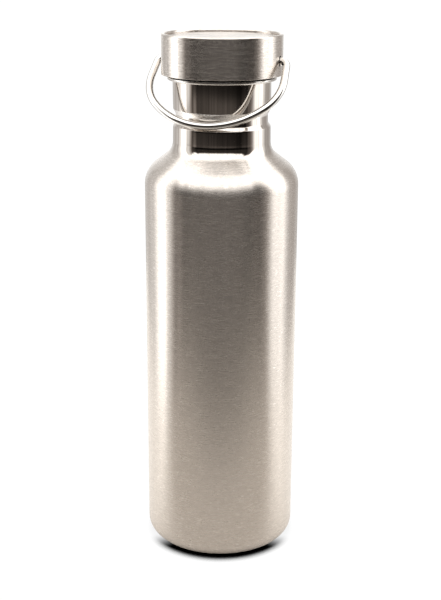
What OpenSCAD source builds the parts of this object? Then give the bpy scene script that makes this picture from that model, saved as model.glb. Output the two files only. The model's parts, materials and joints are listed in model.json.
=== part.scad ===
// Single-wall stainless drinking bottle with a screw-in steel lid and a swinging wire bail.
// Millimetres. Origin at the centre of the base, +Z up, front of the bottle towards -Y.

/* [Body] */
// Outside diameter of the body
body_d = 74; // [73:0.5:80]
// Height from the floor to the top of the rolled lip
lip_top_z = 234.6; // [220:0.1:260]
// Thickness of the drawn steel wall
wall_t = 0.6; // [0.5:0.05:0.8]
// Radius of the rounded bottom corner
base_corner_r = 7.8; // [6:0.1:9]
// Radius of the rounded shoulder
shoulder_r = 13.2; // [11:0.1:14]
// Distance from the lip down to where the shoulder starts
shoulder_drop = 51.5; // [50:0.5:56]

/* [Neck] */
// Outside diameter of the neck
neck_d = 46.7; // [46:0.1:47.5]
// Radius of the hollow curve between the neck and the shoulder
neck_fillet_r = 7.6; // [6:0.1:8]
// Distance from the lip down to where the neck meets that curve
neck_drop = 30.8; // [30:0.1:31.5]
// Depth of the rolled groove round the neck
groove_depth = 1.3; // [1.1:0.05:1.35]
// Distance from the lip down to the top of the groove
groove_drop = 15.2; // [15:0.1:16]
// Width of the groove along the neck
groove_w = 8.4; // [8:0.1:9]
// Outside diameter of the rolled lip
lip_d = 51.9; // [51:0.1:53]

/* [Thread] */
// Rise of the lid in one turn
pitch = 4.5; // [4.3:0.1:5]
// Number of turns of each thread ridge
thread_turns = 1.5; // [1:0.25:1.5]

/* [Lid] */
// Outside diameter of the lid
lid_d = 57.3; // [57:0.1:60]
// Height of the lid above its lower edge
lid_h = 18.9; // [18:0.1:22]
// Gap between the lip and the lower edge of the lid
lid_gap = 0.6; // [0.4:0.1:1]
// Depth of the top disc below the rim
top_recess = 1.4; // [1:0.1:2]

/* [Bail] */
// Diameter of the bail wire
wire_d = 3.5; // [3:0.1:3.6]
// Half of the widest span between the centres of the two arms
bail_half_w = 32.8; // [32.5:0.1:35]
// Distance from the pivot to the centre of the wire at the bottom of the bow
bail_reach = 37.8; // [37.5:0.1:42]
// Height of the pivot above the lower edge of the lid
pivot_rise = 7; // [6.5:0.1:8]
// Turn of the pivot line about the bottle, right end forwards
pivot_turn = 19.7; // [0:0.1:45]

/* [Hidden] */
$fn = 96;
eps = 0.02;
steel = [0.72, 0.71, 0.69];
polished = [0.85, 0.85, 0.84];
dark = [0.12, 0.12, 0.12];

// Body outline: the shoulder arc and the neck curve share one tangent line
body_r = body_d / 2;
neck_r = neck_d / 2;
shoulder_z = lip_top_z - shoulder_drop;
neck_z = lip_top_z - neck_drop;
shoulder_c = [body_r - shoulder_r, shoulder_z];
fillet_c = [neck_r + neck_fillet_r, neck_z];
between = fillet_c - shoulder_c;
slope_a = atan2(between[1], between[0]) - acos((shoulder_r + neck_fillet_r) / norm(between));
slope_n = [cos(slope_a), sin(slope_a)];

// Rolled groove: a flat floor between two sloping sides
groove_top_z = lip_top_z - groove_drop;
groove_bottom_z = groove_top_z - groove_w;
groove_upper_a = 30;
groove_lower_a = 36;
groove_root_arc = 1.25;
groove_edge_arc = 0.9;
groove_arcs = groove_root_arc + groove_edge_arc;
function groove_side(a) = (groove_depth - groove_arcs * (1 - cos(a))) / sin(a);
function groove_run(a) = groove_arcs * sin(a) + groove_side(a) * cos(a);

// Foot and base plate
foot_in_r = 27;
plate_recess = 2.6;
plate_dome = 1;
plate_t = 0.6;

// Rolled lip and threaded ring
curl_r = 0.95;
curl_t = 0.45;
lip_r = lip_d / 2;
ring_t = 1;
ring_out_r = neck_r - wall_t - eps;
ring_in_r = ring_out_r - ring_t;
ring_bottom_z = lip_top_z - 13.9;
neck_top_z = lip_top_z - wall_t - 0.1;

// Thread: both ridges rise to the right, half a pitch apart
ridge_root_w = 2;
ridge_crest_w = 1.1;
ridge_sink = 0.3;
ridge_steps = 30;
inner_crest_r = ring_in_r - 1;
plug_r = inner_crest_r - 0.35;
outer_crest_r = ring_in_r - 0.35;
inner_thread_z = ring_bottom_z + 2;
outer_thread_z = inner_thread_z - pitch / 2;

// Lid levels
lid_r = lid_d / 2;
lid_z = lip_top_z + lid_gap;
lid_top_z = lid_z + lid_h;
band_t = 0.5;
rim_w = 1.75;
rim_round = 0.8;
disc_t = 0.8;
disc_z = lid_top_z - top_recess - disc_t;
core_r = lid_r - band_t - 0.05;
flange_z = lid_z + 0.4;
gasket_t = 1.4;
gasket_out_r = 24.6;
plug_z = lid_z - 20.2;
liner_t = 0.4;
liner_h = 3.2;
nose_r = plug_r - 0.55;
core_wall = 2;

// Bail: pin, elbow, leaning arm, side arc and bow, all tangent
wire_r = wire_d / 2;
pivot_z = lid_z + pivot_rise;
rest_gap = 0.3;
bail_tilt = asin((neck_r + wire_r + rest_gap) / bail_reach);
elbow_r = 3.2;
arm_lean = 5;
side_r = 20;
wide_drop = 12.4;
bow_h = bail_reach - wide_drop;
side_x = bail_half_w - side_r;
bow_rise = (pow(side_x, 2) - pow(bow_h - side_r, 2)) / (2 * (bow_h - side_r));
bow_r = bow_h + bow_rise;
side_a = atan2(bow_rise, side_x);
arm_len = (wide_drop - elbow_r + (elbow_r - side_r) * sin(arm_lean)) / cos(arm_lean);
elbow_x = side_x + (side_r - elbow_r) * cos(arm_lean) - arm_len * sin(arm_lean);
pin_in_x = 23.4;
blend_trim = 0.1;
blend_rise = 0.03;
wire_fn = 48;

// Bushings
bore_r = wire_r + 0.07;
bushing_r = 3.4;
nose_bush_r = 2.45;
bush_clear = 0.05;
bushing_in_x = 22.6;
band_in_r = lid_r - band_t;
bushing_flat_x = sqrt(pow(band_in_r, 2) - pow(bushing_r, 2)) - 0.1;
bush_nose_x = lid_r - 0.35;

// Solid outline of the bottle, drawn t inside its outer skin
module bottle_outline(t) {
    difference() {
        union() {
            translate([0, base_corner_r]) square([body_r - t, shoulder_z - base_corner_r]);
            translate([0, t]) square([body_r - base_corner_r, base_corner_r]);
            translate([body_r - base_corner_r, base_corner_r]) circle(r = base_corner_r - t);
            translate(shoulder_c) circle(r = shoulder_r - t);
            polygon([[0, shoulder_z - 1], [shoulder_c[0], shoulder_z - 1], shoulder_c,
                     shoulder_c + (shoulder_r - t) * slope_n,
                     fillet_c - (neck_fillet_r + t) * slope_n,
                     [neck_r - t, neck_z], [0, neck_z]]);
            translate([0, neck_z - eps]) square([neck_r - t, neck_top_z - neck_z + eps]);
        }
        translate(fillet_c) circle(r = neck_fillet_r + t);
        groove_cut(t);
    }
}

// Corners of one side of the groove, from its edge at height z; up is 1 above and -1 below
function root_centre(z, a, up) = [neck_r - groove_depth + groove_root_arc, z - up * groove_run(a)];
function groove_corners(z, a, up, t) =
    let (edge = [neck_r - groove_edge_arc, z], side_n = [-cos(a), up * sin(a)])
    [root_centre(z, a, up) + (groove_root_arc + t) * side_n, edge - (groove_edge_arc - t) * side_n,
     edge, edge + [groove_root_arc, 0]];

// Section of the groove, drawn t inside the outer skin
module groove_cut(t) {
    above = groove_corners(groove_top_z, groove_upper_a, 1, t);
    below = groove_corners(groove_bottom_z, groove_lower_a, -1, t);
    high_c = root_centre(groove_top_z, groove_upper_a, 1);
    low_c = root_centre(groove_bottom_z, groove_lower_a, -1);
    difference() {
        union() {
            translate(high_c) circle(r = groove_root_arc + t);
            translate(low_c) circle(r = groove_root_arc + t);
            translate([low_c[0] - groove_root_arc - t, low_c[1]])
                square([groove_root_arc + t, high_c[1] - low_c[1]]);
            polygon(concat(above, [for (i = [3:-1:0]) below[i]]));
        }
        for (z = [groove_top_z, groove_bottom_z])
            translate([neck_r - groove_edge_arc, z]) circle(r = groove_edge_arc - t);
    }
}

// Drawn body, shoulder and neck in one piece, open at the foot and at the mouth
module body_shell() {
    color(steel) rotate_extrude() difference() {
        bottle_outline(0);
        bottle_outline(wall_t);
        translate([0, -1]) square([foot_in_r, base_corner_r]);
        translate([0, neck_z]) square([neck_r - groove_depth - wall_t - 2, neck_top_z]);
        translate([0, neck_top_z - wall_t]) square([neck_r - wall_t, 2 * wall_t]);
    }
}

// Stamped base with a turned-down edge, welded inside the foot
module base_plate() {
    edge_r = foot_in_r - eps;
    dome_r = (pow(edge_r, 2) + pow(plate_dome, 2)) / (2 * plate_dome);
    dome_z = plate_recess + plate_dome - dome_r;
    color(steel) rotate_extrude() {
        translate([edge_r - plate_t, 0.2]) square([plate_t, plate_recess]);
        intersection() {
            difference() {
                translate([0, dome_z]) circle(r = dome_r + plate_t, $fn = 360);
                translate([0, dome_z]) circle(r = dome_r, $fn = 360);
            }
            square([edge_r, plate_recess + plate_dome + 2 * plate_t]);
        }
    }
}

// One cross-section of a thread ridge: its root sinks into the wall, its crest stands off it
function ridge_section(i, n, root_r, crest_r, z0) =
    let (a = 360 * i / ridge_steps,
         fade = min(1, min(i, n - i) / 3 + 0.35),
         z = z0 + pitch * i / ridge_steps,
         tip_r = root_r + (crest_r - root_r) * fade,
         sink_r = root_r - sign(crest_r - root_r) * ridge_sink,
         wr = ridge_root_w / 2,
         wc = ridge_crest_w / 2)
    [for (p = [[sink_r, -wr], [tip_r, -wc], [tip_r, wc], [sink_r, wr]])
        [p[0] * cos(a), p[0] * sin(a), z + p[1]]];

// Helical ridge, right-handed, fading out at both ends
module thread_ridge(root_r, crest_r, z0) {
    n = floor(thread_turns * ridge_steps);
    pts = [for (i = [0:n]) each ridge_section(i, n, root_r, crest_r, z0)];
    out = crest_r > root_r;
    sides = [for (i = [0:n - 1], k = [0:3])
        let (p = 4 * i + k, q = 4 * i + (k + 1) % 4)
        each [[p, q, q + 4], [p, q + 4, p + 4]]];
    caps = [[3, 2, 1, 0], [4 * n, 4 * n + 1, 4 * n + 2, 4 * n + 3]];
    faces = concat(sides, caps);
    polyhedron(pts, out ? faces : [for (f = faces) [for (j = [len(f) - 1:-1:0]) f[j]]]);
}

// Threaded ring inside the neck, turned out over the neck into the rolled lip
module mouth_ring() {
    curl_c = [lip_r - curl_r, lip_top_z - curl_r];
    color(polished) union() {
        rotate_extrude() {
            translate([ring_in_r, ring_bottom_z])
                square([ring_t, lip_top_z - ring_bottom_z]);
            translate([ring_in_r, lip_top_z - wall_t])
                square([curl_c[0] - ring_in_r, wall_t]);
            difference() {
                translate(curl_c) circle(r = curl_r);
                translate(curl_c) circle(r = curl_r - curl_t);
                translate(curl_c - [2 * curl_r, 0.3]) square([2 * curl_r, 0.65]);
            }
        }
        thread_ridge(ring_in_r, inner_crest_r, inner_thread_z);
    }
}

// Turns a shape to the pivot line of the bail
module on_pivot() {
    rotate([0, 0, -pivot_turn]) translate([0, 0, pivot_z]) children();
}

// Round bar along the pivot line from x0 to x1
module pivot_bar(r, x0, x1) {
    translate([x0, 0, 0]) rotate([0, 90, 0]) cylinder(r = r, h = x1 - x0);
}

// Steel band of the lid: straight side and a hemmed rim, with the two bail holes
module lid_band() {
    color(steel) difference() {
        rotate_extrude() difference() {
            union() {
                translate([lid_r - rim_w, lid_z])
                    square([rim_w, lid_h - rim_round]);
                translate([lid_r - rim_w, lid_z])
                    square([rim_w - rim_round, lid_h]);
                translate([lid_r - rim_round, lid_top_z - rim_round]) circle(r = rim_round);
            }
            translate([0, lid_z - 1]) square([band_in_r, disc_z + disc_t - lid_z + 1]);
            translate([lid_r - rim_w + band_t, lid_z])
                square([rim_w - 2 * band_t, lid_h - band_t]);
        }
        on_pivot() pivot_bar(nose_bush_r + bush_clear, -lid_r - 1, lid_r + 1);
    }
}

// Flat steel disc let into the top of the lid
module lid_top_disc() {
    color(steel) translate([0, 0, disc_z]) cylinder(r = core_r, h = disc_t);
}

// Moulded plastic core: a hollow flange and plug with an outer thread and a nose
module lid_core() {
    floor_z = plug_z + liner_t;
    hollow_r = nose_r - core_wall;
    color(dark) difference() {
        union() {
            translate([0, 0, flange_z]) cylinder(r = core_r, h = disc_z - flange_z);
            translate([0, 0, floor_z + liner_h]) cylinder(r = plug_r, h = flange_z - floor_z);
            translate([0, 0, floor_z]) cylinder(r = nose_r, h = 2 * liner_h);
            thread_ridge(plug_r, outer_crest_r, outer_thread_z);
        }
        translate([0, 0, floor_z + core_wall]) cylinder(r = hollow_r, h = lid_top_z);
        translate([0, 0, flange_z - 1]) difference() {
            cylinder(r = gasket_out_r + 0.35, h = 1 + lip_top_z + gasket_t - flange_z);
            cylinder(r = plug_r, h = gasket_t + 2);
        }
        on_pivot() for (s = [0, 1]) mirror([s, 0, 0])
            pivot_bar(bushing_r + bush_clear, bushing_in_x, lid_r);
    }
}

// Steel cap pressed over the nose of the plug
module lid_liner() {
    color(polished) translate([0, 0, plug_z]) difference() {
        cylinder(r = nose_r + 0.05 + liner_t, h = liner_h);
        translate([0, 0, liner_t]) cylinder(r = nose_r + 0.05, h = liner_h);
    }
}

// Thin seal between the liner's edge and the plug's shoulder
module liner_seal() {
    color("whitesmoke") translate([0, 0, plug_z + liner_h]) difference() {
        cylinder(r = plug_r - 0.1, h = liner_t);
        translate([0, 0, -1]) cylinder(r = nose_r + 0.05, h = liner_t + 2);
    }
}

// Main seal, lying on the lip and held in the flange's groove
module lid_gasket() {
    color("dimgray") translate([0, 0, lip_top_z]) difference() {
        cylinder(r = gasket_out_r, h = gasket_t);
        translate([0, 0, -1]) cylinder(r = plug_r + 0.3, h = gasket_t + 2);
    }
}

// Plastic bushing that carries one end of the bail, blind at its inner end
module bushing() {
    difference() {
        union() {
            pivot_bar(bushing_r, bushing_in_x, bushing_flat_x);
            pivot_bar(nose_bush_r, bushing_in_x, bush_nose_x);
        }
        pivot_bar(bore_r, pin_in_x - 0.2, lid_r + 1);
    }
}

module pivot_bushing_right() {
    color(dark) on_pivot() bushing();
}

module pivot_bushing_left() {
    color(dark) on_pivot() mirror([1, 0, 0]) bushing();
}

// Piece of bent wire: an arc of radius r about c, from angle a0 to a1, in the XZ plane.
// It stops just short of both ends, inside the balls that blend it into its neighbours.
module wire_arc(c, r, a0, a1) {
    trim = asin(blend_trim / r);
    translate([c[0], 0, c[1]]) rotate([90, 0, 0]) rotate([0, 0, a0 + trim])
        rotate_extrude(angle = a1 - a0 - 2 * trim)
            translate([r, 0]) circle(r = wire_r, $fn = wire_fn);
    for (a = [a0, a1])
        translate([c[0] + r * cos(a), 0, c[1] + r * sin(a)])
            sphere(r = wire_r + blend_rise, $fn = wire_fn);
}

// Right half of the bail from the pin to the side arc, pivot at the origin
module bail_side() {
    arm_top = [elbow_x + elbow_r * cos(arm_lean), elbow_r * (sin(arm_lean) - 1)];
    pivot_bar(wire_r, pin_in_x, elbow_x - blend_trim);
    wire_arc([elbow_x, -elbow_r], elbow_r, arm_lean, 90);
    translate([arm_top[0], 0, arm_top[1]]) rotate([0, 180 - arm_lean, 0])
        translate([0, 0, blend_trim])
            cylinder(r = wire_r, h = arm_len - 2 * blend_trim, $fn = wire_fn);
    wire_arc([side_x, -wide_drop], side_r, -side_a, arm_lean);
}

// Bow of the bail between the two side arcs, whose balls it ends in
module bow() {
    trim = asin(blend_trim / bow_r);
    translate([0, 0, bow_rise - wide_drop]) rotate([90, 0, 0])
        rotate([0, 0, side_a - 180 + trim])
            rotate_extrude(angle = 180 - 2 * side_a - 2 * trim, $fn = 2 * wire_fn)
                translate([bow_r, 0]) circle(r = wire_r, $fn = wire_fn);
}

// Bent wire bail, resting against the front of the neck
module bail() {
    color(polished) on_pivot() rotate([-bail_tilt, 0, 0]) union() {
        bail_side();
        mirror([1, 0, 0]) bail_side();
        bow();
    }
}

body_shell();
base_plate();
mouth_ring();
lid_band();
lid_top_disc();
lid_core();
lid_liner();
liner_seal();
lid_gasket();
pivot_bushing_right();
pivot_bushing_left();
bail();
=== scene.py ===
import json
import math

import bmesh
import bpy
from mathutils import Euler, Matrix, Vector


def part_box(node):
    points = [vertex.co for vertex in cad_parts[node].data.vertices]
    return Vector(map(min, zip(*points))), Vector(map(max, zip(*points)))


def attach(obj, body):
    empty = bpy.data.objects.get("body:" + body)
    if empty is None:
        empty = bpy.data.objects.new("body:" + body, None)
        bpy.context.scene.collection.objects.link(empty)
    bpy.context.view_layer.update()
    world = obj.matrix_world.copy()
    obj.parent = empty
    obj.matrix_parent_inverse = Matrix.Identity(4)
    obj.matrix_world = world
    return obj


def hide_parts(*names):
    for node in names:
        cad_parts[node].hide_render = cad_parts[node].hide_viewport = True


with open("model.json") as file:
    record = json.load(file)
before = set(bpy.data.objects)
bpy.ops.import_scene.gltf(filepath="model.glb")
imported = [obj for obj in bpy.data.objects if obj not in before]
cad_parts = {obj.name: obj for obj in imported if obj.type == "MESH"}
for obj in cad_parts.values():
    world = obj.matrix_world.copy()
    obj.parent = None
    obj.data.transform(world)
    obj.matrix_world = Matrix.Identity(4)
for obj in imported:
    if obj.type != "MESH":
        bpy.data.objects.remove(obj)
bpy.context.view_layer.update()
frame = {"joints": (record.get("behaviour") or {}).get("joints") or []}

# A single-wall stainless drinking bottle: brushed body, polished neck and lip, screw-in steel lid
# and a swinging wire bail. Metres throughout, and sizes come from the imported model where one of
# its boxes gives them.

MM = 0.001
AROUND = 160  # segments round every turned piece

# ---------------------------------------------------------------- sizes

_, BODY_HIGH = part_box("body_shell")
PLATE_LOW, PLATE_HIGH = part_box("base_plate")
RING_LOW, RING_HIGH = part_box("mouth_ring")
BAND_LOW, BAND_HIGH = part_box("lid_band")
DISC_LOW, DISC_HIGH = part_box("lid_top_disc")
CORE_LOW, CORE_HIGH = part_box("lid_core")
LINER_LOW, LINER_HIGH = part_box("lid_liner")
_, GASKET_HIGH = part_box("lid_gasket")
BODY_R, NECK_TOP = BODY_HIGH.x, BODY_HIGH.z
LIP_R, LIP_TOP = RING_HIGH.x, RING_HIGH.z
LID_R, LID_BOTTOM, LID_TOP = BAND_HIGH.x, BAND_LOW.z, BAND_HIGH.z
SWING = next(j for j in frame["joints"] if j["name"] == "bail_swing")
PIVOT = Vector(SWING["pos_m"])
PIVOT_LINE = -Vector(SWING["axis"]).normalized()  # towards the right end of the bail

# The rest are sizes that no box gives. Body, shoulder and neck:
WALL = 0.6 * MM
BASE_CORNER = 7.8 * MM
FOOT_IN_R = 27.0 * MM
SHOULDER_R = 13.2 * MM
SHOULDER_Z = LIP_TOP - 51.5 * MM
NECK_R = 23.35 * MM
NECK_FILLET = 7.6 * MM
NECK_Z = LIP_TOP - 30.8 * MM

# Rolled groove, and how the neck is drawn in beside it
GROOVE_TOP = LIP_TOP - 15.2 * MM
GROOVE_BOTTOM = LIP_TOP - 23.6 * MM
GROOVE_DEPTH = 1.3 * MM
GROOVE_TILTS = (30, 36)  # degrees of the upper and the lower side
GROOVE_ROOT = 1.25 * MM
GROOVE_EDGE = 0.9 * MM
DRAW_IN = 0.18 * MM  # how far the wall is drawn in just above the groove
DRAW_REACH = 6 * MM
DRAW_TAPER = 0.0131  # slope of the neck between the groove and the shoulder
DRAW_START = NECK_Z + 0.8 * MM

# Threaded ring and plug
RING_IN_R, RING_OUT_R = 21.73 * MM, 22.73 * MM
PLUG_R = 20.38 * MM
RIDGE = 1 * MM
PITCH = 4.5 * MM
THREAD_TURNS = 1.5
THREAD_Z = RING_LOW.z + 2 * MM

# Lid
LID_SHEET = 0.5 * MM
RIM_W = 1.75 * MM
ON_AXIS = 0.001 * MM  # radius of an outline's inner corner, where a solid is closed on its axis

# Bail, in its own plane, from the line that it turns on
WIRE_R = 1.75 * MM
BAIL_HALF_W = 32.8 * MM
BAIL_REACH = 37.8 * MM
BAIL_DROP = 12.4 * MM  # down to the widest place
BAIL_ELBOW = 3.2 * MM
BAIL_SIDE_R = 20 * MM
BAIL_LEAN = 5  # degrees that the arms lean outwards
PIN_START = 23.4 * MM


# ---------------------------------------------------------------- outlines

def arc(centre, radius, start, end, steps):
    """Points of an arc in the (r, z) plane, angles in degrees from +r."""
    angles = [math.radians(start + (end - start) * i / steps) for i in range(steps + 1)]
    return [(centre[0] + radius * math.cos(a), centre[1] + radius * math.sin(a)) for a in angles]


def line(a, b, steps):
    """Points from a to b, both ends included."""
    return [(a[0] + (b[0] - a[0]) * i / steps, a[1] + (b[1] - a[1]) * i / steps)
            for i in range(steps + 1)]


def thinned(points, gap=1e-6):
    """Drops points that repeat the one before."""
    kept = points[:1]
    for p in points[1:]:
        if math.dist(p, kept[-1]) > gap:
            kept.append(p)
    return kept


def offset(points, distance):
    """The same path moved to its left-hand side by distance."""
    moved = []
    last = len(points) - 1
    for i, (r, z) in enumerate(points):
        a, b = points[max(i - 1, 0)], points[min(i + 1, last)]
        length = math.dist(a, b)
        moved.append((r - (b[1] - a[1]) / length * distance, z + (b[0] - a[0]) / length * distance))
    return moved


def rounded(corners, radius, steps=5):
    """A closed outline with every corner turned to an arc of about that radius."""
    out = []
    count = len(corners)
    for i, p in enumerate(corners):
        p = Vector(p)
        before = Vector(corners[i - 1]) - p
        after = Vector(corners[(i + 1) % count]) - p
        reach = min(radius, before.length * 0.45, after.length * 0.45)
        a, b = p + before.normalized() * reach, p + after.normalized() * reach
        for k in range(steps + 1):
            t = k / steps
            out.append(tuple(a * (1 - t) ** 2 + p * 2 * t * (1 - t) + b * t ** 2))
    return out


def groove_run(tilt):
    """Height of one side of the groove, from its edge to its floor."""
    a = math.radians(tilt)
    arcs = GROOVE_ROOT + GROOVE_EDGE
    return arcs * math.sin(a) + (GROOVE_DEPTH - arcs * (1 - math.cos(a))) / math.tan(a)


def neck_path():
    """Neck from the shoulder's curve to the mouth, by way of the rolled groove."""
    edge = NECK_R - GROOVE_EDGE
    root = NECK_R - GROOVE_DEPTH + GROOVE_ROOT
    above, below = GROOVE_TILTS
    path = line((NECK_R, NECK_Z), (NECK_R, GROOVE_BOTTOM), 16)
    path += arc((edge, GROOVE_BOTTOM), GROOVE_EDGE, 0, below, 7)
    path += arc((root, GROOVE_BOTTOM + groove_run(below)), GROOVE_ROOT, 180 + below, 180, 7)
    path += arc((root, GROOVE_TOP - groove_run(above)), GROOVE_ROOT, 180, 180 - above, 7)
    path += arc((edge, GROOVE_TOP), GROOVE_EDGE, -above, 0, 7)
    path += line((NECK_R, GROOVE_TOP), (NECK_R, NECK_TOP), 24)
    drawn = []
    low = DRAW_TAPER * (GROOVE_BOTTOM - DRAW_START)
    for r, z in path:
        if z > GROOVE_TOP:
            inward = DRAW_IN * math.exp((GROOVE_TOP - z) / DRAW_REACH)
        elif z > GROOVE_BOTTOM:
            share = (z - GROOVE_BOTTOM) / (GROOVE_TOP - GROOVE_BOTTOM)
            inward = low + (DRAW_IN - low) * share
        else:
            inward = DRAW_TAPER * max(z - DRAW_START, 0)
        drawn.append((r - inward, z))
    return drawn


def bottle_path():
    """Outside of the bottle from the inner edge of the foot to the top of the neck."""
    shoulder = (BODY_R - SHOULDER_R, SHOULDER_Z)
    fillet = (NECK_R + NECK_FILLET, NECK_Z)
    between = (fillet[0] - shoulder[0], fillet[1] - shoulder[1])
    slope = math.degrees(math.atan2(between[1], between[0])
                         - math.acos((SHOULDER_R + NECK_FILLET) / math.hypot(*between)))
    path = line((FOOT_IN_R, 0), (BODY_R - BASE_CORNER, 0), 3)
    path += arc((BODY_R - BASE_CORNER, BASE_CORNER), BASE_CORNER, -90, 0, 14)
    path += line((BODY_R, BASE_CORNER), (BODY_R, SHOULDER_Z), 24)
    path += arc(shoulder, SHOULDER_R, 0, slope, 14)
    path += arc(fillet, NECK_FILLET, 180 + slope, 180, 12)
    path += neck_path()
    return thinned(path)


# ---------------------------------------------------------------- meshes

def finish_mesh(name, verts, faces, sharp=35):
    """An object from vertices and faces, smooth but for edges sharper than the angle."""
    mesh = bpy.data.meshes.new(name)
    mesh.from_pydata([tuple(v) for v in verts], [], faces)
    mesh.validate()
    work = bmesh.new()
    work.from_mesh(mesh)
    bmesh.ops.recalc_face_normals(work, faces=work.faces)
    work.to_mesh(mesh)
    work.free()
    mesh.shade_smooth()
    mesh.set_sharp_from_angle(angle=math.radians(sharp))
    piece = bpy.data.objects.new(name, mesh)
    bpy.context.scene.collection.objects.link(piece)
    return piece


def turned(outline, closed=True, around=AROUND):
    """Vertices and faces of an (r, z) outline turned about Z. A point on the axis is shared."""
    verts, rows, faces = [], [], []
    for r, z in outline:
        if r < 1e-7:
            rows.append([len(verts)] * around)
            verts.append((0, 0, z))
            continue
        rows.append(list(range(len(verts), len(verts) + around)))
        for k in range(around):
            a = 2 * math.pi * k / around
            verts.append((r * math.cos(a), r * math.sin(a), z))
    following = rows[1:] + rows[:1] if closed else rows[1:]
    for low, high in zip(rows, following):
        for k in range(around):
            after = (k + 1) % around
            corners = [low[k], low[after], high[after], high[k]]
            face = [v for i, v in enumerate(corners) if v != corners[i - 1]]
            if len(face) > 2:
                faces.append(face)
    return verts, faces


def helix_ridge(root_r, crest_r, z0, per_turn=72):
    """A right-handed thread ridge sunk into its wall, fading out at both ends."""
    steps = int(THREAD_TURNS * per_turn)
    side = 1 if crest_r > root_r else -1
    sunk_r = root_r - side * 0.3 * MM
    half_root, half_crest, ease = 1.0 * MM, 0.55 * MM, 0.25 * MM
    fade_steps, end_height = 8, 0.3
    verts, faces = [], []
    for i in range(steps + 1):
        a = 2 * math.pi * i / per_turn
        fade = min(1, min(i, steps - i) / fade_steps + end_height)
        tip = root_r + (crest_r - root_r) * fade
        shape = [(sunk_r, -half_root), (root_r, -half_root),
                 (tip - side * ease, -half_crest - ease * 0.5), (tip, -half_crest + ease),
                 (tip, half_crest - ease), (tip - side * ease, half_crest + ease * 0.5),
                 (root_r, half_root), (sunk_r, half_root)]
        for r, up in shape:
            verts.append((r * math.cos(a), r * math.sin(a), z0 + PITCH * i / per_turn + up))
    width = len(shape)
    for i in range(steps):
        low, high = i * width, (i + 1) * width
        for k in range(width):
            after = (k + 1) % width
            faces.append([low + k, low + after, high + after, high + k])
    faces.append(list(range(width)))
    faces.append([steps * width + k for k in range(width)])
    return verts, faces


def joined(*parts):
    """One list of vertices and faces from several."""
    verts, faces = [], []
    for v, f in parts:
        base = len(verts)
        verts += v
        faces += [[base + i for i in face] for face in f]
    return verts, faces


def tube(path, radius, around=32):
    """A round bar along a path, with eased ends."""
    frames = []
    last = len(path) - 1
    normal = (path[1] - path[0]).orthogonal().normalized()
    for i, p in enumerate(path):
        along = (path[min(i + 1, last)] - path[max(i - 1, 0)]).normalized()
        normal = (normal - along * normal.dot(along)).normalized()
        frames.append((p, along, normal, along.cross(normal)))
    verts, faces = [], []

    def ring(spot, forward=0.0, inward=0.0):
        """A ring of vertices, moved forward along the bar and in from its surface."""
        p, along, across, other = spot
        start = len(verts)
        for k in range(around):
            a = 2 * math.pi * k / around
            out = across * math.cos(a) + other * math.sin(a)
            verts.append(p + along * forward + out * (radius - inward))
        return list(range(start, start + around))

    ease = 0.3 * MM
    steps = [(0, ease), (0.3 * ease, 0.3 * ease), (ease, 0)]
    rows = [ring(frames[0], forward, inward) for forward, inward in steps]
    rows += [ring(spot) for spot in frames[1:-1]]
    rows += [ring(frames[-1], -forward, inward) for forward, inward in reversed(steps)]
    for low, high in zip(rows, rows[1:]):
        for k in range(around):
            after = (k + 1) % around
            faces.append([low[k], low[after], high[after], high[k]])
    faces.append(rows[0][::-1])
    faces.append(rows[-1])
    return verts, faces


def place(piece, body, node, material):
    """Puts a finished piece in the place of its CAD node."""
    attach(piece, body)
    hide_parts(node)
    piece.data.materials.clear()
    piece.data.materials.append(material)
    return piece


# ---------------------------------------------------------------- materials

class Nodes:
    """Short names for building a node tree."""

    def __init__(self, tree):
        self.tree = tree
        self.tree.nodes.clear()

    def add(self, kind, **values):
        node = self.tree.nodes.new(kind)
        for name, value in values.items():
            setattr(node, name, value)
        return node

    def link(self, output, target):
        self.tree.links.new(output, target)

    def put(self, target, value):
        """Links a socket, or sets a plain number."""
        if isinstance(value, bpy.types.NodeSocket):
            self.link(value, target)
        else:
            target.default_value = value

    def math(self, operation, a, b=0.0, clamp=False):
        node = self.add("ShaderNodeMath", operation=operation, use_clamp=clamp)
        self.put(node.inputs[0], a)
        self.put(node.inputs[1], b)
        return node.outputs[0]

    def ease(self, value, low, high, out_low=0.0, out_high=1.0):
        """Smoothly maps low..high to out_low..out_high."""
        node = self.add("ShaderNodeMapRange", interpolation_type="SMOOTHSTEP")
        for socket, v in zip(("Value", "From Min", "From Max", "To Min", "To Max"),
                             (value, low, high, out_low, out_high)):
            self.put(node.inputs[socket], v)
        return node.outputs["Result"]

    def xyz(self, output):
        node = self.add("ShaderNodeSeparateXYZ")
        self.link(output, node.inputs[0])
        return node.outputs

    def vector(self, x, y, z):
        node = self.add("ShaderNodeCombineXYZ")
        for socket, v in zip(node.inputs, (x, y, z)):
            self.put(socket, v)
        return node.outputs[0]

    def noise(self, vector, scale=1.0, detail=3.0, roughness=0.55):
        node = self.add("ShaderNodeTexNoise", noise_dimensions="3D")
        self.link(vector, node.inputs["Vector"])
        node.inputs["Scale"].default_value = scale
        node.inputs["Detail"].default_value = detail
        node.inputs["Roughness"].default_value = roughness
        return node.outputs["Fac"]

    def stretched(self, vector, scales, **values):
        node = self.add("ShaderNodeMapping")
        self.link(vector, node.inputs["Vector"])
        node.inputs["Scale"].default_value = scales
        return self.noise(node.outputs[0], **values)

    def mix_colour(self, factor, a, b):
        node = self.add("ShaderNodeMix", data_type="RGBA")
        self.put(node.inputs[0], factor)
        for socket, v in zip((node.inputs[6], node.inputs[7]), (a, b)):
            self.put(socket, v)
        return node.outputs[2]


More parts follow.
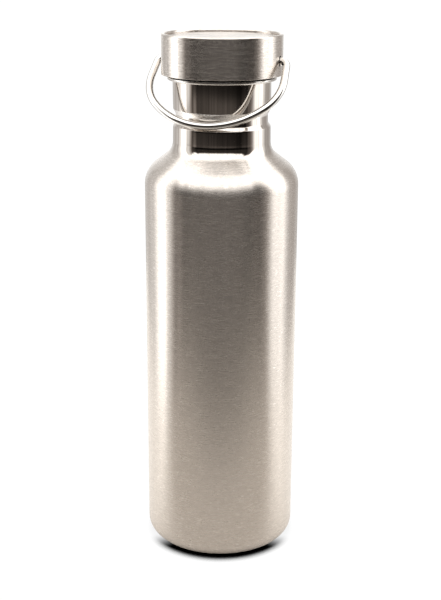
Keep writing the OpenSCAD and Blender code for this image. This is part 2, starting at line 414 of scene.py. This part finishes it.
def shader(name):
    """A new material: its nodes, its Principled shader and object-space x, y and z."""
    material = bpy.data.materials.new(name)
    material.use_nodes = True
    n = Nodes(material.node_tree)
    out = n.add("ShaderNodeOutputMaterial")
    bsdf = n.add("ShaderNodeBsdfPrincipled")
    n.link(bsdf.outputs[0], out.inputs["Surface"])
    place_of = n.add("ShaderNodeTexCoord").outputs["Object"]
    return material, n, bsdf, n.xyz(place_of), place_of


def steel(name, colour, rough, contrast=1.0, polish=None, satin_and_sheen=None, anisotropy=0.88,
          flat=False):
    """Stainless steel brushed round the axis, or in rings where it is flat. polish gives the
    heights between which the brushing gives way to a mirror polish, and satin the heights of a
    band left unpolished, whose colour is painted lighter as a painted reflection."""
    material, n, bsdf, (x, y, z), place_of = shader(name)
    if flat:
        squares = n.math("ADD", n.math("MULTIPLY", x, x), n.math("MULTIPLY", y, y))
        place_of = n.vector(x, y, n.math("SQRT", squares))
    # noise drawn out round the axis, with so many cells to the metre along x, y and z
    fine = n.stretched(place_of, (150, 150, 5200), detail=4, roughness=0.7)
    lines = n.stretched(place_of, (170, 170, 2100), detail=2, roughness=0.5)
    dashes = n.stretched(place_of, (520, 520, 2300), detail=2, roughness=0.6)
    smudge = n.noise(place_of, scale=38, detail=3)
    grain = n.math("ADD", n.math("MULTIPLY", fine, 0.45), n.math("MULTIPLY", lines, 0.55))
    brushed = n.ease(z, polish[0], polish[1], 1.0, 0.0) if polish else 1.0
    # lines and short dashes a little lighter and darker, with a few bright scratches
    tone = n.math("ADD", n.math("MULTIPLY", n.ease(lines, 0.3, 0.7), 0.4),
                  n.math("MULTIPLY", n.ease(dashes, 0.3, 0.7), 0.6))
    dark = [c * (1 - 0.10 * contrast) for c in colour] + [1]
    light = [min(c * (1 + 0.08 * contrast), 1) for c in colour] + [1]
    worn = n.mix_colour(n.math("MULTIPLY", tone, brushed), dark, light)
    scratch = n.math("MULTIPLY", n.ease(dashes, 0.62, 0.74, 0, 0.75), brushed)
    tinted = n.mix_colour(scratch, worn, (0.95, 0.92, 0.88, 1))
    bsdf.inputs["Metallic"].default_value = 1.0
    # roughness of the brushing and of the polish, and the step between them
    matt = n.math("ADD", rough - 0.05, n.math("MULTIPLY", grain, 0.10))
    mirror = n.math("ADD", 0.05, n.math("MULTIPLY", smudge, 0.03))
    gap = n.math("SUBTRACT", matt, mirror)
    blurred = brushed
    if satin_and_sheen:
        fade = 0.3 * MM
        band = n.math("SUBTRACT", n.ease(z, satin_and_sheen[0], satin_and_sheen[0] + fade),
                      n.ease(z, satin_and_sheen[1] - fade, satin_and_sheen[1]))
        blurred = n.math("ADD", brushed, band, clamp=True)
        # painted reflection: the satin band's colour is painted lighter, to whiten the groove's
        # upper side
        tinted = n.mix_colour(band, tinted, (1.0, 0.97, 0.94, 1))
    n.link(tinted, bsdf.inputs["Base Color"])
    n.link(n.math("ADD", mirror, n.math("MULTIPLY", gap, blurred)), bsdf.inputs["Roughness"])
    bsdf.inputs["Anisotropic"].default_value = anisotropy
    bsdf.inputs["Anisotropic Rotation"].default_value = 0.25
    tangent = n.add("ShaderNodeTangent", direction_type="RADIAL", axis="Z")
    n.link(tangent.outputs[0], bsdf.inputs["Tangent"])
    bump = n.add("ShaderNodeBump")
    bump.inputs["Distance"].default_value = 0.012 * MM
    n.put(bump.inputs["Strength"], brushed)
    n.link(grain, bump.inputs["Height"])
    n.link(bump.outputs[0], bsdf.inputs["Normal"])
    return material


def polished(name, colour, rough=0.05):
    """Mirror-polished steel, with the slight waviness and haze of a buffed part."""
    material, n, bsdf, _, place_of = shader(name)
    haze = n.noise(place_of, scale=60, detail=4)
    waves = n.noise(place_of, scale=140, detail=1)
    n.link(n.mix_colour(haze, [c * 0.97 for c in colour] + [1], list(colour) + [1]),
           bsdf.inputs["Base Color"])
    bsdf.inputs["Metallic"].default_value = 1.0
    n.link(n.math("ADD", rough - 0.015, n.math("MULTIPLY", haze, 0.03)), bsdf.inputs["Roughness"])
    bump = n.add("ShaderNodeBump")
    bump.inputs["Strength"].default_value = 0.25
    bump.inputs["Distance"].default_value = 0.02 * MM
    n.link(waves, bump.inputs["Height"])
    n.link(bump.outputs[0], bsdf.inputs["Normal"])
    return material


def moulded(name, colour, rough):
    """Moulded plastic or silicone with a fine spark-eroded grain."""
    material, n, bsdf, _, place_of = shader(name)
    grain = n.noise(place_of, scale=2600, detail=2)
    cloud = n.noise(place_of, scale=90, detail=3)
    n.link(n.mix_colour(cloud, [c * 0.85 for c in colour] + [1], [c * 1.15 for c in colour] + [1]),
           bsdf.inputs["Base Color"])
    n.link(n.math("ADD", rough - 0.05, n.math("MULTIPLY", cloud, 0.1)), bsdf.inputs["Roughness"])
    bump = n.add("ShaderNodeBump")
    bump.inputs["Strength"].default_value = 0.3
    bump.inputs["Distance"].default_value = 0.03 * MM
    n.link(grain, bump.inputs["Height"])
    n.link(bump.outputs[0], bsdf.inputs["Normal"])
    return material


STEEL = (0.67, 0.615, 0.565)
# the satin band on the groove's upper side carries a painted reflection, its colour painted lighter
BODY_STEEL = steel("body_brushed_steel", STEEL, rough=0.265, contrast=1.2,
                   polish=(198 * MM, 201 * MM), satin_and_sheen=(GROOVE_TOP - 3 * MM, GROOVE_TOP))
BASE_STEEL = steel("base_satin_steel", STEEL, rough=0.38, anisotropy=0.4)
LID_STEEL = steel("lid_brushed_steel", STEEL, rough=0.24, contrast=2.2)
# painted shade: the disc's steel is coloured darker than the rest, so that the lid's top mirrors
# less of the bright roof
DISC_STEEL_SHADED = steel("disc_brushed_steel", (0.54, 0.495, 0.455), rough=0.26, contrast=1.8,
                   flat=True)
POLISHED = polished("polished_steel", (0.70, 0.675, 0.645))
BAIL_STEEL = polished("bail_polished_steel", (0.70, 0.68, 0.65))
PLASTIC = moulded("black_moulded_plastic", (0.022, 0.022, 0.024), 0.48)
SILICONE = moulded("dark_silicone", (0.06, 0.06, 0.062), 0.6)


# ---------------------------------------------------------------- the bottle

def make_body():
    """Drawn body, shoulder and grooved neck in one piece of sheet."""
    outside = bottle_path()
    inside = offset(outside, WALL)
    inside = [(r, z) for r, z in inside if z < NECK_TOP - 0.01 * MM] + [(inside[-1][0], NECK_TOP)]
    verts, faces = turned(outside + inside[::-1])
    return place(finish_mesh("bottle_body", verts, faces), "bottle", "body_shell",
                 BODY_STEEL)


def make_base_plate():
    """Stamped base: turned-down edge, a rounded corner and a shallow dome."""
    edge, top = PLATE_HIGH.x, PLATE_HIGH.z
    recess = 2.6 * MM
    bend = 1.4 * MM
    steps = 24
    path = [(edge - WALL / 2, PLATE_LOW.z), (edge - WALL / 2, recess - bend)]
    path += arc((edge - WALL / 2 - bend, recess - bend), bend, 0, 82, 8)
    rim_r, rim_z = path[-1]
    middle = top - WALL / 2
    for i in range(1, steps + 1):
        t = 1 - i / steps
        path.append((rim_r * t, middle - (middle - rim_z) * t * t))
    lower = offset(path, WALL / 2)
    upper = offset(path, -WALL / 2)
    lower[-1] = (0, lower[-1][1])
    upper[-1] = (0, upper[-1][1])
    verts, faces = turned(lower + upper[::-1])
    return place(finish_mesh("base_dish", verts, faces), "bottle", "base_plate",
                 BASE_STEEL)


def make_mouth_ring():
    """Threaded ring whose top rolls out over the neck into the lip."""
    curl = 0.95 * MM
    thick = 0.45 * MM
    corner, mouth, chamfer = 0.3 * MM, 0.5 * MM, 0.2 * MM
    under = LIP_TOP - WALL
    centre = (LIP_R - curl, LIP_TOP - curl)
    outline = [(RING_OUT_R, RING_LOW.z), (RING_OUT_R, under - corner)]
    outline += arc((RING_OUT_R + corner, under - corner), corner, 180, 90, 4)
    outline += [(centre[0], under)]
    outline += arc(centre, curl - thick, 90, -160, 20)
    outline += arc(centre, curl, -160, 90, 30)
    outline += arc((RING_IN_R + mouth, LIP_TOP - mouth), mouth, 90, 180, 6)
    outline += [(RING_IN_R, RING_LOW.z + chamfer), (RING_IN_R + chamfer, RING_LOW.z)]
    verts, faces = joined(turned(thinned(outline)),
                          helix_ridge(RING_IN_R, RING_IN_R - RIDGE, THREAD_Z))
    return place(finish_mesh("threaded_lip_ring", verts, faces), "bottle", "mouth_ring",
                 POLISHED)


# ---------------------------------------------------------------- the lid

def pivot_ends():
    """Both ends of the line that the bail turns on: a name, and the turn and move that bring
    something drawn along +Z from the bottle's axis to that end."""
    turn = PIVOT_LINE.to_track_quat("Z", "Y").to_matrix().to_4x4()
    for word, half_turn in (("right", 0), ("left", math.pi)):
        yield word, Matrix.Translation(PIVOT) @ Matrix.Rotation(half_turn, 4, "Z") @ turn


def band_outline():
    """Section of the lid's band: the wall, its eased rim, and the hem turned down inside."""
    corner, inner_corner, foot = 0.8 * MM, 0.9 * MM, 0.18 * MM
    rim_r = LID_R - RIM_W
    inside_r = LID_R - LID_SHEET
    hem = 0.75 * MM / 2
    outline = [(inside_r + foot, LID_BOTTOM)]
    outline += arc((LID_R - foot, LID_BOTTOM + foot), foot, -90, 0, 4)
    outline += line((LID_R, LID_BOTTOM + 2 * foot), (LID_R, LID_TOP - corner), 20)
    outline += arc((LID_R - corner, LID_TOP - corner), corner, 0, 90, 10)
    outline += arc((rim_r + inner_corner, LID_TOP - inner_corner), inner_corner, 90, 180, 10)
    outline += [(rim_r, DISC_HIGH.z), (rim_r + LID_SHEET, DISC_HIGH.z)]
    outline += arc((LID_R - RIM_W / 2, LID_TOP - LID_SHEET - hem), hem, 180, 0, 8)
    outline += [(inside_r, LID_TOP - 2.2 * MM), (inside_r, LID_BOTTOM + foot)]
    return thinned(outline)


def drill(piece, cutter):
    """Cuts one piece out of another, and removes the cutter."""
    cut = piece.modifiers.new("hole", "BOOLEAN")
    cut.operation = "DIFFERENCE"
    cut.solver = "EXACT"
    cut.object = cutter
    bpy.context.view_layer.update()
    with bpy.context.temp_override(object=piece, active_object=piece):
        bpy.ops.object.modifier_apply(modifier=cut.name)
    bpy.data.objects.remove(cutter)


def make_band():
    """Brushed band of the lid with its hemmed rim and two countersunk holes for the bail."""
    verts, faces = turned(band_outline())
    band = finish_mesh("lid_band_steel", verts, faces)
    hole, sink = 2.5 * MM, 0.25 * MM
    outside, inside = LID_R + 2 * MM, LID_R - 3 * MM
    cutter_outline = [(0, outside), (hole + sink, outside), (hole + sink, LID_R - 0.02 * MM),
                      (hole, LID_R - sink), (hole, inside), (0, inside)]
    for _, at_end in pivot_ends():
        verts, faces = turned(cutter_outline, closed=False, around=48)
        cutter = finish_mesh("cutter", verts, faces)
        cutter.matrix_world = at_end
        drill(band, cutter)
    turned_normals(band)
    return place(band, "lid", "lid_band", LID_STEEL)


def turned_normals(piece):
    """Gives the outer and inner wall of a drilled ring the exact normals of a turned part."""
    level, square = 0.02, 0.995  # limits for a face that stands upright and looks at the axis
    mesh = piece.data
    normals = [Vector(c.vector) for c in mesh.corner_normals]
    for face in mesh.polygons:
        out = Vector((face.center.x, face.center.y, 0)).normalized()
        facing = face.normal.dot(out)
        if abs(face.normal.z) > level or abs(facing) < square:
            continue
        for corner in face.loop_indices:
            v = mesh.vertices[mesh.loops[corner].vertex_index].co
            normals[corner] = Vector((v.x, v.y, 0)).normalized() * (1 if facing > 0 else -1)
    mesh.normals_split_custom_set(normals)


def make_disc():
    """Flat steel disc let into the rim, its edge slightly rounded."""
    edge = DISC_HIGH.x
    low, high = DISC_LOW.z, DISC_HIGH.z
    corner = 0.2 * MM
    cut = 0.3 * corner
    outline = [(0, low), (edge - corner, low), (edge, low + corner), (edge, high - corner),
               (edge - cut, high - cut), (edge - corner, high)]
    outline += line((edge - 5 * corner, high), (0, high), 8)
    verts, faces = turned(outline, closed=False)
    return place(finish_mesh("lid_disc_steel", verts, faces), "lid", "lid_top_disc",
                 DISC_STEEL_SHADED)


def make_core():
    """Moulded core: flange with the seal groove, threaded plug, nose, and a hollow inside."""
    edge = CORE_HIGH.x
    bottom, top = CORE_LOW.z, CORE_HIGH.z
    flange = LID_BOTTOM + 0.4 * MM
    groove, groove_r = GASKET_HIGH.z, 24.95 * MM
    nose_r = PLUG_R - 0.55 * MM
    step = LINER_HIGH.z + 0.4 * MM
    wall = 2 * MM
    hollow_r, hollow = nose_r - wall, bottom + wall
    outline = rounded([(ON_AXIS, bottom), (nose_r, bottom), (nose_r, step), (PLUG_R, step),
                       (PLUG_R, groove), (groove_r, groove), (groove_r, flange),
                       (edge, flange), (edge, top), (hollow_r, top), (hollow_r, hollow),
                       (ON_AXIS, hollow)], 0.35 * MM)
    verts, faces = joined(turned(outline),
                          helix_ridge(PLUG_R, PLUG_R + RIDGE, THREAD_Z - PITCH / 2))
    return place(finish_mesh("lid_core_moulding", verts, faces), "lid", "lid_core",
                 PLASTIC)


def make_liner():
    """Steel cap over the nose of the plug, with a rounded lower corner."""
    edge = LINER_HIGH.x
    thick = 0.4 * MM
    low, high = LINER_LOW.z, LINER_HIGH.z
    corner = 0.9 * MM
    path = line((0, low), (edge - corner, low), 6)
    path += arc((edge - corner, low + corner), corner, -90, 0, 8)
    path += [(edge, high)]
    path = thinned(path)
    inside = offset(path, thick)
    inside[0] = (0, inside[0][1])
    verts, faces = turned(path + inside[::-1])
    return place(finish_mesh("plug_cap", verts, faces), "lid", "lid_liner",
                 POLISHED)


def make_seal(name, body, node, inner_r, corner):
    """A flat silicone ring with rounded corners."""
    low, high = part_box(node)
    ring = rounded([(inner_r, low.z), (high.x, low.z), (high.x, high.z), (inner_r, high.z)],
                   corner)
    verts, faces = turned(ring)
    return place(finish_mesh(name, verts, faces), body, node, SILICONE)


def make_bushings():
    """The two plastic bushings that the bail turns in, each a blind tube with a collar."""
    bore_r, nose_r, collar_r = 1.82 * MM, 2.45 * MM, 3.4 * MM
    start, floor, shelf, end = 22.6 * MM, 23.2 * MM, 27.84 * MM, LID_R - 0.35 * MM
    outline = rounded([(ON_AXIS, start), (collar_r, start), (collar_r, shelf),
                       (nose_r, shelf), (nose_r, end), (bore_r, end), (bore_r, floor),
                       (ON_AXIS, floor)], 0.15 * MM, steps=3)
    for word, at_end in pivot_ends():
        verts, faces = turned(outline, around=48)
        piece = finish_mesh(f"bail_bushing_{word}", verts, faces)
        piece.data.transform(at_end)
        place(piece, "lid", f"pivot_bushing_{word}", PLASTIC)


# ---------------------------------------------------------------- the bail

def bail_path():
    """Centre line of the bail from the left pin to the right one, in its own plane. An arm goes
    out, round the elbow, down to the side arc, and on into the wide arc of the bow."""
    lean = math.radians(BAIL_LEAN)
    side_x = BAIL_HALF_W - BAIL_SIDE_R
    below = BAIL_REACH - BAIL_DROP - BAIL_SIDE_R
    rise = (side_x ** 2 - below ** 2) / (2 * below)
    bow_r = BAIL_REACH - BAIL_DROP + rise
    meet = math.degrees(math.atan2(rise, side_x))
    bend = BAIL_SIDE_R - BAIL_ELBOW
    arm = (BAIL_DROP - BAIL_ELBOW - bend * math.sin(lean)) / math.cos(lean)
    elbow_x = side_x + bend * math.cos(lean) - arm * math.sin(lean)
    right = line((PIN_START, 0), (elbow_x, 0), 4)
    right += arc((elbow_x, -BAIL_ELBOW), BAIL_ELBOW, 90, BAIL_LEAN, 14)
    right += arc((side_x, -BAIL_DROP), BAIL_SIDE_R, BAIL_LEAN, -meet, 20)
    right += arc((0, rise - BAIL_DROP), bow_r, -meet, -90, 26)
    right = thinned(right)
    left = [(-x, z) for x, z in right[:-1]]
    return left + right[::-1]


def make_bail():
    """One bent wire, leaning forward until it rests by the neck."""
    tilt = math.asin((NECK_R + WIRE_R + 0.3 * MM) / BAIL_REACH)
    turn = Matrix.Rotation(math.atan2(PIVOT_LINE.y, PIVOT_LINE.x), 4, "Z")
    at_rest = Matrix.Translation(PIVOT) @ turn @ Matrix.Rotation(-tilt, 4, "X")
    path = [at_rest @ Vector((x, 0, z)) for x, z in bail_path()]
    verts, faces = tube(path, WIRE_R)
    return place(finish_mesh("bail_wire", verts, faces), "bail", "bail",
                 BAIL_STEEL)


# ---------------------------------------------------------------- studio

TABLE_HALF_W, TABLE_FRONT, TABLE_BACK, TABLE_CORNER = 0.26, -0.36, 0.5, 0.08
# painted shade: the table's colour, seen only in the steel, is painted dark at its front edge, grey
# close in front and lighter behind
TABLE_SHADE_NEAR = (0.41, 0.383, 0.35, 1)  # colours that the steel mirrors: close in front of it,
TABLE_SHADE_FAR = (0.07, 0.063, 0.056, 1)  # at the front edge,
TABLE_SHADE_BEHIND = (0.72, 0.70, 0.67, 1)  # and behind it
TABLE_WHITE = 1.04  # brightness to the camera
SHADOW_REACH = 11 * MM


def make_floor():
    """A plain pale table top. The camera sees it white with a soft contact shadow, and the steel
    mirrors its colour, which is painted shade: darker towards the front."""
    outline = rounded([(-TABLE_HALF_W, TABLE_FRONT), (TABLE_HALF_W, TABLE_FRONT),
                       (TABLE_HALF_W, TABLE_BACK), (-TABLE_HALF_W, TABLE_BACK)],
                      TABLE_CORNER, steps=8)
    mesh = bpy.data.meshes.new("floor")
    mesh.from_pydata([(x, y, 0) for x, y in outline], [], [list(range(len(outline)))])
    floor = bpy.data.objects.new("floor", mesh)
    bpy.context.scene.collection.objects.link(floor)
    material = bpy.data.materials.new("pale_floor")
    material.use_nodes = True
    n = Nodes(material.node_tree)
    out = n.add("ShaderNodeOutputMaterial")
    x, y, _ = n.xyz(n.add("ShaderNodeTexCoord").outputs["Object"])
    matt = n.add("ShaderNodeBsdfDiffuse")
    # painted shade, darker towards the front edge and lighter behind the bottle
    front = n.mix_colour(n.ease(y, -0.31, -0.10), TABLE_SHADE_FAR, TABLE_SHADE_NEAR)
    n.link(n.mix_colour(n.ease(y, -0.06, 0.01), front, TABLE_SHADE_BEHIND), matt.inputs["Color"])
    # the contact shadow, fading out towards the sides and the back
    shade = n.add("ShaderNodeAmbientOcclusion", samples=24)
    shade.inputs["Distance"].default_value = SHADOW_REACH
    shade.inputs["Normal"].default_value = (0, 0.55, 0.835)
    open_sky = n.ease(shade.outputs["AO"], 0.38, 0.74, 0.0, TABLE_WHITE)
    far = n.math("SQRT", n.math("ADD", n.math("MULTIPLY", x, x), n.math("MULTIPLY", y, y)))
    ahead = n.ease(n.math("DIVIDE", n.math("MULTIPLY", y, -1), far), 0.3, 0.7, 0.12, 1.0)
    shadow = n.math("MULTIPLY", n.math("SUBTRACT", TABLE_WHITE, open_sky), ahead)
    glow = n.add("ShaderNodeEmission")
    n.link(n.math("SUBTRACT", TABLE_WHITE, shadow), glow.inputs["Strength"])
    mix = n.add("ShaderNodeMixShader")
    n.link(n.add("ShaderNodeLightPath").outputs["Is Camera Ray"], mix.inputs[0])
    n.link(matt.outputs[0], mix.inputs[1])
    n.link(glow.outputs[0], mix.inputs[2])
    n.link(mix.outputs[0], out.inputs["Surface"])
    mesh.materials.append(material)


# The studio round the horizon. Each row has degrees from the front towards the right, brightness
# of the wall, elevation at which the roof light starts, elevation of the table's far edge, and
# brightness of the table below that edge.
SURROUND = [
    # behind, then the wall on the left
    (-180, 1.30, 24, -6, 0.66),
    (-160, 0.95, 34, -6, 0.70),
    (-142, 0.72, 36, -8, 0.74),
    (-127, 0.66, 32, -8, 0.80),
    (-117, 1.00, 26, -9, 1.05),
    # left side light
    (-108, 2.30, 22, -9, 2.30),
    (-94, 2.30, 22, -9, 2.20),
    (-87, 1.20, 28, -9, 0.80),
    (-81, 0.85, 30, -8.5, 0.60),
    # dark opening in front
    (-74, 0.12, 20, -8, 0.14),
    (-69, 0.04, 15, -8, 0.30),
    (-64, 0.01, 17, -8, 0.26),
    (-59, 0.004, 22, -7.8, 0.08),
    (-54, 0.004, 20, -7.8, 0.08),
    (-47, 0.004, 19, -7.8, 0.09),
    (-22, 0.004, 19, -8.15, 0.12),
    (0, 0.004, 19, -8.5, 0.12),
    (29, 0.004, 19, -8.55, 0.10),
    (33, 0.004, 22, -8.5, 0.06),
    (37, 0.004, 20, -8.5, 0.06),
    (43, 0.003, 22, -8.4, 0.03),
    (48, 0.003, 21, -8.4, 0.06),
    (54, 0.01, 26, -8.4, 0.10),
    (61, 0.01, 34, -8.4, 0.10),
    (70, 0.12, 26, -8.4, 0.20),
    # right side light, which reaches below the horizon
    (77, 0.45, 6, -9, 0.55),
    (84, 2.00, -6, -10, 1.30),
    (109, 2.00, -6, -10, 1.30),
    (117, 0.95, 14, -10, 0.80),
    # the wall on the right, then behind
    (126, 0.50, 28, -10, 0.52),
    (150, 0.56, 34, -8, 0.56),
    (180, 1.30, 24, -6, 0.66),
]
ROOF = 2.25  # brightness of the roof light
ZENITH = 1.7  # its brightness straight above
BACKDROP = 1.05  # brightness of the white that the camera sees


def make_world():
    """A white tent with two tall side lights, a bright roof and a dark opening in front. The
    camera sees plain white."""
    world = bpy.data.worlds.new("studio")
    bpy.context.scene.world = world
    world.use_nodes = True
    n = Nodes(world.node_tree)
    x, y, z = n.xyz(n.add("ShaderNodeTexCoord").outputs["Generated"])
    azimuth = n.math("ARCTAN2", x, n.math("MULTIPLY", y, -1))
    elevation = n.math("MULTIPLY", n.math("ARCSINE", z), 180 / math.pi)
    ramp = n.add("ShaderNodeValToRGB")
    elements = ramp.color_ramp.elements
    peak = max(row[1] for row in SURROUND)
    for i, (degrees, value, roof_at, edge_at, table) in enumerate(SURROUND):
        position = degrees / 360 + 0.5
        element = elements[i] if i < 2 else elements.new(position)
        element.position = position
        element.color = [value / peak, (roof_at + 90) / 180, (edge_at + 90) / 180, table / peak]
    n.link(n.math("ADD", n.math("DIVIDE", azimuth, 2 * math.pi), 0.5), ramp.inputs[0])
    wall, roof_start, edge_height = n.add("ShaderNodeSeparateColor").outputs
    n.link(ramp.outputs[0], wall.node.inputs[0])

    def above(share):
        """Degrees above a limit that the ramp keeps as a share of the half circle."""
        limit = n.math("SUBTRACT", n.math("MULTIPLY", share, 180), 90)
        return n.math("SUBTRACT", elevation, limit)

    def blend(factor, a, b):
        return n.math("ADD", n.math("MULTIPLY", a, n.math("SUBTRACT", 1, factor)),
                      n.math("MULTIPLY", b, factor))

    # the wall is a touch brighter above the horizon, and the table lies below its far edge
    lifted = n.math("ADD", n.math("MULTIPLY", wall, peak), n.ease(elevation, -3, 3, 0, 0.03))
    side = blend(n.ease(above(edge_height), -0.5, 0.5), n.math("MULTIPLY", ramp.outputs[1], peak),
                 lifted)
    # folds in the tent, seen as soft upright streaks in the steel
    folds = n.noise(n.vector(n.math("MULTIPLY", azimuth, 10), 0, 0), detail=2, roughness=0.6)
    # the roof light dims towards the top of the tent
    roof = n.ease(elevation, 58, 84, ROOF, ZENITH)
    light = n.math("MULTIPLY", blend(n.ease(above(roof_start), 0, 13), side, roof),
                   n.ease(folds, 0.3, 0.7, 0.68, 1.32))
    seen = n.add("ShaderNodeLightPath").outputs["Is Camera Ray"]
    strength = n.math("ADD", n.math("MULTIPLY", light, n.math("SUBTRACT", 1, seen)),
                      n.math("MULTIPLY", seen, BACKDROP))
    background = n.add("ShaderNodeBackground")
    n.link(strength, background.inputs["Strength"])
    warm = n.ease(light, 0.1, 0.9)
    tint = n.mix_colour(warm, (1, 0.88, 0.80, 1), (1, 0.995, 0.985, 1))
    n.link(n.mix_colour(seen, tint, (1, 1, 1, 1)), background.inputs["Color"])
    out = n.add("ShaderNodeOutputWorld")
    n.link(background.outputs[0], out.inputs["Surface"])


CAMERA_AT = (-0.22 * MM, -567.7 * MM, 297.4 * MM)
CAMERA_DOWN = 16.99  # degrees below level
CAMERA_ROLL = 0.278  # degrees
LENS, SENSOR = 71.53, 36  # millimetres


def make_camera():
    """A long lens a little above the lid, looking down at the bottle."""
    data = bpy.data.cameras.new("camera")
    data.lens = LENS
    data.sensor_width = SENSOR
    camera = bpy.data.objects.new("camera", data)
    bpy.context.scene.collection.objects.link(camera)
    look = Euler((math.radians(90 - CAMERA_DOWN), 0, 0)).to_matrix().to_4x4()
    roll = Matrix.Rotation(math.radians(CAMERA_ROLL), 4, "Z")
    camera.matrix_world = Matrix.Translation(CAMERA_AT) @ look @ roll
    bpy.context.scene.camera = camera
    bpy.context.scene.view_settings.view_transform = "Standard"


make_body()
make_base_plate()
make_mouth_ring()
make_band()
make_disc()
make_core()
make_liner()
make_seal("plug_seal", "lid", "liner_seal", inner_r=19.88 * MM, corner=0.15 * MM)
make_seal("main_seal", "seal", "lid_gasket", inner_r=20.68 * MM, corner=0.35 * MM)
make_bushings()
make_bail()
make_floor()
make_world()
make_camera()
